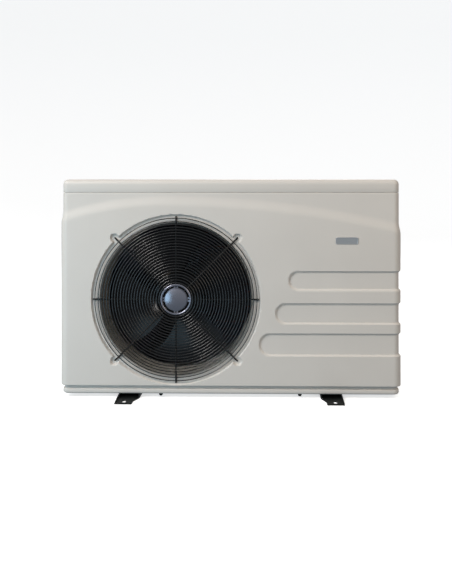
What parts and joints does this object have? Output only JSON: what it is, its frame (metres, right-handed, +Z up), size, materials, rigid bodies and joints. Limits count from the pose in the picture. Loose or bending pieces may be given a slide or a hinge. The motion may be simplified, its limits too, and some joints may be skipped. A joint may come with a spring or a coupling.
{
  "type": "pool heat pump",
  "caption": "Free-standing pool and spa heat pump: rounded casing with side flutes, wire-guarded axial fan, wrap-around coil, compressor bay, rear water unions and foot rails.",
  "frame": {"origin": "on the floor at the middle of the footprint, under the middle of the casing", "axes": "+X to the right of someone facing the fan guard, +Y from the front face to the back, +Z up"},
  "size_m": [1.01, 0.488, 0.648],
  "materials": {
    "casing": "warm light grey moulded plastic with a satin grain",
    "black_wire": "black powder-coated steel wire",
    "black_steel": "black painted steel",
    "black_plastic": "glossy black moulded plastic",
    "motor_casting": "dark grey painted casting",
    "steel": "plain bright steel",
    "galvanised": "galvanised sheet",
    "fin_aluminium": "aluminium fins",
    "copper": "drawn copper tube",
    "brass": "machined brass",
    "pvc": "dark grey pressure-pipe plastic",
    "rubber": "black rubber",
    "white_plastic": "white button plastic",
    "clear": "clear smoked polycarbonate",
    "signal_red": "red lacquered pointer",
    "board": "green circuit board"
  },
  "bodies": {
    "unit": {"front_panel": "casing", "left_panel": "casing", "right_panel": "casing", "rear_panel": "casing", "coil_guard": "casing", "top_cover": "casing", "base_pan": "casing", "fan_shroud": "casing", "front_screw_left": "black_steel", "front_screw_right": "black_steel", "drain_nozzle": "rubber", "foot_rail_left": "black_steel", "foot_rail_right": "black_steel", "fan_guard": "black_wire", "motor_flange": "motor_casting", "stator_core": "copper", "motor_bearing_front": "steel", "motor_bearing_rear": "steel", "evaporator_coil": "fin_aluminium", "coil_return_bends": "copper", "partition_plate": "galvanised", "compressor": "black_steel", "compressor_grommet_1": "rubber", "compressor_grommet_2": "rubber", "compressor_grommet_3": "rubber", "suction_accumulator": "black_steel", "reversing_valve": "brass", "expansion_valve": "brass", "heat_exchanger": "pvc", "discharge_pipe": "copper", "suction_pipe": "copper", "hot_gas_pipe": "copper", "coil_gas_pipe": "copper", "liquid_pipe": "copper", "coil_liquid_pipe": "copper", "water_inlet_pipe": "pvc", "water_outlet_pipe": "pvc", "inlet_seal": "rubber", "outlet_seal": "rubber", "inlet_union_tail": "pvc", "outlet_union_tail": "pvc", "flow_switch": "black_plastic", "control_box": "galvanised", "control_box_lid": "galvanised", "control_board": "board", "display_housing": "black_plastic", "display_screen": "clear", "gauge_case": "steel", "gauge_lens": "clear", "cable_gland": "black_plastic"},
    "fan_rotor": {"rotor_can": "black_steel", "fan_impeller": "black_plastic"},
    "inlet_nut": {"inlet_union_nut": "black_plastic"},
    "outlet_nut": {"outlet_union_nut": "black_plastic"},
    "paddle": {"flow_paddle": "steel"},
    "door": {"display_door": "clear"},
    "button_1": {"display_button_1": "white_plastic"},
    "button_2": {"display_button_2": "white_plastic"},
    "button_3": {"display_button_3": "white_plastic"},
    "needle": {"gauge_needle": "signal_red"}
  },
  "joints": [
    {"name": "fan_spin", "type": "hinge", "parent": "unit", "child": "fan_rotor", "pos_m": [-0.16, -0.1, 0.292], "axis": [0, -1, 0], "continuous": true},
    {"name": "inlet_nut_turn", "type": "hinge", "parent": "unit", "child": "inlet_nut", "pos_m": [0.4005, 0.205, 0.11], "axis": [0, 1, 0], "continuous": true},
    {"name": "outlet_nut_turn", "type": "hinge", "parent": "unit", "child": "outlet_nut", "pos_m": [0.4005, 0.205, 0.322], "axis": [0, 1, 0], "continuous": true},
    {"name": "flow_paddle_swing", "type": "hinge", "parent": "unit", "child": "paddle", "pos_m": [0.4005, 0.1449, 0.137], "axis": [-1, 0, 0], "range_deg": [0, 28], "stiffness_Nm_per_rad": 0.02},
    {"name": "display_door_flap", "type": "hinge", "parent": "unit", "child": "door", "pos_m": [0.5015, -0.052, 0.4705], "axis": [0, -1, 0], "range_deg": [0, 105]},
    {"name": "button_1_press", "type": "slide", "parent": "unit", "child": "button_1", "axis": [-1, 0, 0], "range_m": [0, 0.0015], "stiffness_N_per_m": 600, "springref_m": -0.001},
    {"name": "button_2_press", "type": "slide", "parent": "unit", "child": "button_2", "axis": [-1, 0, 0], "range_m": [0, 0.0015], "stiffness_N_per_m": 600, "springref_m": -0.001},
    {"name": "button_3_press", "type": "slide", "parent": "unit", "child": "button_3", "axis": [-1, 0, 0], "range_m": [0, 0.0015], "stiffness_N_per_m": 600, "springref_m": -0.001},
    {"name": "gauge_needle_turn", "type": "hinge", "parent": "unit", "child": "needle", "pos_m": [0.5, 0.084, 0.438], "axis": [-1, 0, 0], "range_deg": [0, 270], "stiffness_Nm_per_rad": 0.0005}
  ]
}
